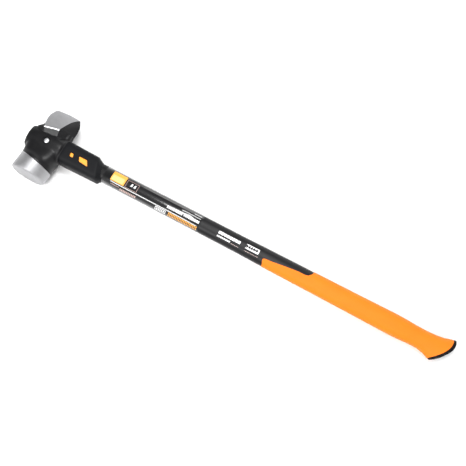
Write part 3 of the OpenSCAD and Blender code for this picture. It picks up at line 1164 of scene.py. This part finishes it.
# ---------------------------------------------------------------- grip


class MAUL_OT_grip(bpy.types.Operator):
    """Orange grip, open over the black tongue at its front"""

    bl_idname = "maul.grip"
    bl_label = "Grip"

    def execute(self, context):
        skin = sizes().grip_skin / MM
        bm = bmesh.new()
        places = [482, 482.5, 483.5, 485, *steps(487, 743, 40), *steps(748, 847.4, 30)]
        rings = []
        for x in places:
            w, h, lean, bulge = through(GRIP, x)
            if x < GRIP_START:
                # Rounded front edge, 4 mm long
                t = math.sqrt(max(1 - ((GRIP_START - x) / 4) ** 2, 0))
                w, h = mix(35.85, 37, t), mix(28.85, 30, t)
            rings.append(bar_ring(x, w, h, HANDLE_ROUND, lean, bulge))
        inside = [
            (846.4, 24.9, 17.9),
            (832, 24.9, 17.9),
            (832, 31.6, 24.6),
            (TONGUE_END + 6.1, 31.6, 24.6),
            (TONGUE_END + 3.1, 38.05 - 2 * skin, 30.55 - 2 * skin),
            (GRIP_START + 2, 37.11 - 2 * skin, 30.11 - 2 * skin),
            (482, 36.95 - 2 * skin, 29.95 - 2 * skin),
        ]
        rings += [bar_ring(*row) for row in inside]
        loft(bm, rings, closed=True)
        made = piece("grip_overmould", bm)
        cut(made, 35, prism(TONGUE, (-40, 0), (40, 0)))
        hand_over(made, "grip", soft_grip())
        return {"FINISHED"}


class MAUL_OT_end_cap(bpy.types.Operator):
    """Black cap over the pommel, with the spigot that plugs the shell"""

    bl_idname = "maul.end_cap"
    bl_label = "End cap"

    def execute(self, context):
        bm = bmesh.new()
        rings = [bar_ring(x, 24.8, 17.8) for x in (CORE_END + 0.1, 843)]
        rings += [
            bar_ring(x, w, h, HANDLE_ROUND, CAP_LEAN, bulge)
            for x, w, h, bulge in (
                (847.45, 26, 19, 8),
                (847.45, 52, 33.6, 10),
                (847.7, 52.6, 34.2, 10.05),
                (848.2, 53.2, 34.7, 10.15),
                (849.8, 54.2, 35.1, 10.5),
                (851, 54.7, 35.2, 10.8),
                (851.8, 54.4, 34.8, 11),
                (852.3, 53.6, 34, 11.2),
                (852.7, 52, 32.4, 11.35),
                (CAP_END, 49, 29.4, 11.45),
                (CAP_END, 43, 23.5, 11.5),
            )
        ]
        # Its end runs on inwards, along the same bulging and leaning face
        for share in (0.8, 0.55, 0.3, 0.08):
            ring = []
            for a in turn(BAR_SIDES):
                y, z = oval_point(42.9 * share, 23.364 * share, a)
                bulge = 11.5 * (1 - (y / 27.5) ** 2)
                ring.append(at(CAP_END + CAP_LEAN * y + bulge, y, z))
            rings.append(ring)
        loft(bm, rings)
        made = piece("end_cap_cover", bm)
        finish = moulded(
            "Moulded black plastic", colours().cap, (0.5, 0.6), 0.9, 0.03, shine=0.12
        )
        hand_over(made, "end_cap", finish)
        return {"FINISHED"}


class MAUL_OT_core(bpy.types.Operator):
    """Finishes of the hidden core, which keeps its CAD shape"""

    bl_idname = "maul.core"
    bl_label = "Core"

    def execute(self, context):
        rod = moulded("Pultruded glass fibre", linear("#D8CF9A"), (0.4, 0.55), 0.8, 0.03)
        jacket = moulded("Grey damping elastomer", linear("#6E7278"), (0.6, 0.75), 1.2, 0.05)
        for node, finish in (("core_rod", rod), ("core_jacket", jacket)):
            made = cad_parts[node]
            made.data.materials.clear()
            made.data.materials.append(finish)
        return {"FINISHED"}


# ---------------------------------------------------------------- stage


def lamp(name, place, aim, width, depth, power):
    """Rectangular softbox at a place, turned to its aim; all in metres."""
    light = bpy.data.lights.new(name, "AREA")
    light.shape = "RECTANGLE"
    light.size = width
    light.size_y = depth
    light.energy = power
    made = bpy.data.objects.new(name, light)
    made.location = place
    made.rotation_euler = (Vector(aim) - Vector(place)).to_track_quat("-Z", "Y").to_euler()
    bpy.context.scene.collection.objects.link(made)


class MAUL_OT_stage(bpy.types.Operator):
    """Pale floor, soft studio light and the camera"""

    bl_idname = "maul.stage"
    bl_label = "Stage"

    def execute(self, context):
        # The maul rests on its poll and its pommel, so the floor slopes a little under it
        floor_z = cad_box[0][2]
        rise, run = EYE.z - 17.6 * MM - floor_z, 852 * MM
        bm = bmesh.new()
        bmesh.ops.create_grid(bm, x_segments=1, y_segments=1, size=4)
        for v in bm.verts:
            v.co.z = floor_z + (v.co.x - EYE.x) * rise / run - 0.3 * MM
        floor = piece("studio_floor", bm)
        floor.data.materials.append(studio_floor())

        lamp("softbox_front", (-0.5, -1.25, 1.8), (-0.15, 0, 0), 1.8, 0.4, 50)
        lamp("softbox_over", (-0.14, 0.33, 1.85), (-0.36, 0, 0), 0.9, 0.4, 28)
        lamp("softbox_right", (1.8, -0.6, 1.9), (0.1, 0, 0), 1.2, 1.2, 8)
        lamp("softbox_back", (0.3, 2.2, 0.9), (0.1, 0, 0), 2.4, 0.8, 18)

        # A pale room with a dimmer ceiling, so that black tops stay dark
        world = bpy.data.worlds.new("Studio room")
        world.use_nodes = True
        tree = world.node_tree
        tree.nodes.clear()
        direction = add(tree, "TexCoord", out="Generated")
        height = add(tree, "SeparateXYZ", {"Vector": direction}, "Z")
        glow = add(
            tree,
            "MapRange",
            {"Value": height, "From Min": 0.05, "From Max": 0.8, "To Min": 1.12, "To Max": 0.13},
        )
        room = add(tree, "Background", {"Color": linear("#FFFFFF"), "Strength": glow})
        add(tree, "OutputWorld", {"Surface": room})
        bpy.context.scene.world = world

        camera = bpy.data.cameras.new("camera")
        # Lens and sensor in mm; tilted from straight above, and swung round
        camera.lens, camera.sensor_width = 57.785, 36
        tilt, swing, distance = math.radians(17), math.radians(28.533), 1.4353
        made = bpy.data.objects.new("camera", camera)
        made.rotation_euler = Euler((tilt, 0, swing))
        back = made.rotation_euler.to_matrix() @ Vector((0, 0, distance))
        made.location = at(407.92, 14.24, 0) + back
        bpy.context.scene.collection.objects.link(made)
        bpy.context.scene.camera = made
        bpy.context.scene.view_settings.view_transform = "Standard"
        return {"FINISHED"}


# ---------------------------------------------------------------- add-on

OPERATORS = (
    MAUL_OT_head,
    MAUL_OT_pin,
    MAUL_OT_eye_cap,
    MAUL_OT_sleeve,
    MAUL_OT_collar,
    MAUL_OT_core,
    MAUL_OT_shaft,
    MAUL_OT_label,
    MAUL_OT_print,
    MAUL_OT_grip,
    MAUL_OT_end_cap,
    MAUL_OT_stage,
)


class MAUL_PT_panel(bpy.types.Panel):
    """Lists the maul's pieces, sizes and colours"""

    bl_idname = "MAUL_PT_panel"
    bl_label = "Splitting Maul"
    bl_space_type = "VIEW_3D"
    bl_region_type = "UI"
    bl_category = "Maul"

    def draw(self, context):
        for kind in OPERATORS:
            self.layout.operator(kind.bl_idname)
        for group in (context.scene.maul_sizes, context.scene.maul_colours):
            column = self.layout.column()
            for name in group.bl_rna.properties.keys():
                if name not in ("rna_type", "name"):
                    column.prop(group, name)


CLASSES = (MaulSizes, MaulColours, *OPERATORS, MAUL_PT_panel)


def register():
    for kind in CLASSES:
        bpy.utils.register_class(kind)
    bpy.types.Scene.maul_sizes = bpy.props.PointerProperty(type=MaulSizes)
    bpy.types.Scene.maul_colours = bpy.props.PointerProperty(type=MaulColours)


def unregister():
    del bpy.types.Scene.maul_colours
    del bpy.types.Scene.maul_sizes
    for kind in reversed(CLASSES):
        bpy.utils.unregister_class(kind)


def main():
    register()
    for kind in OPERATORS:
        area, name = kind.bl_idname.split(".")
        getattr(getattr(bpy.ops, area), name)()


if __name__ == "__main__":
    main()
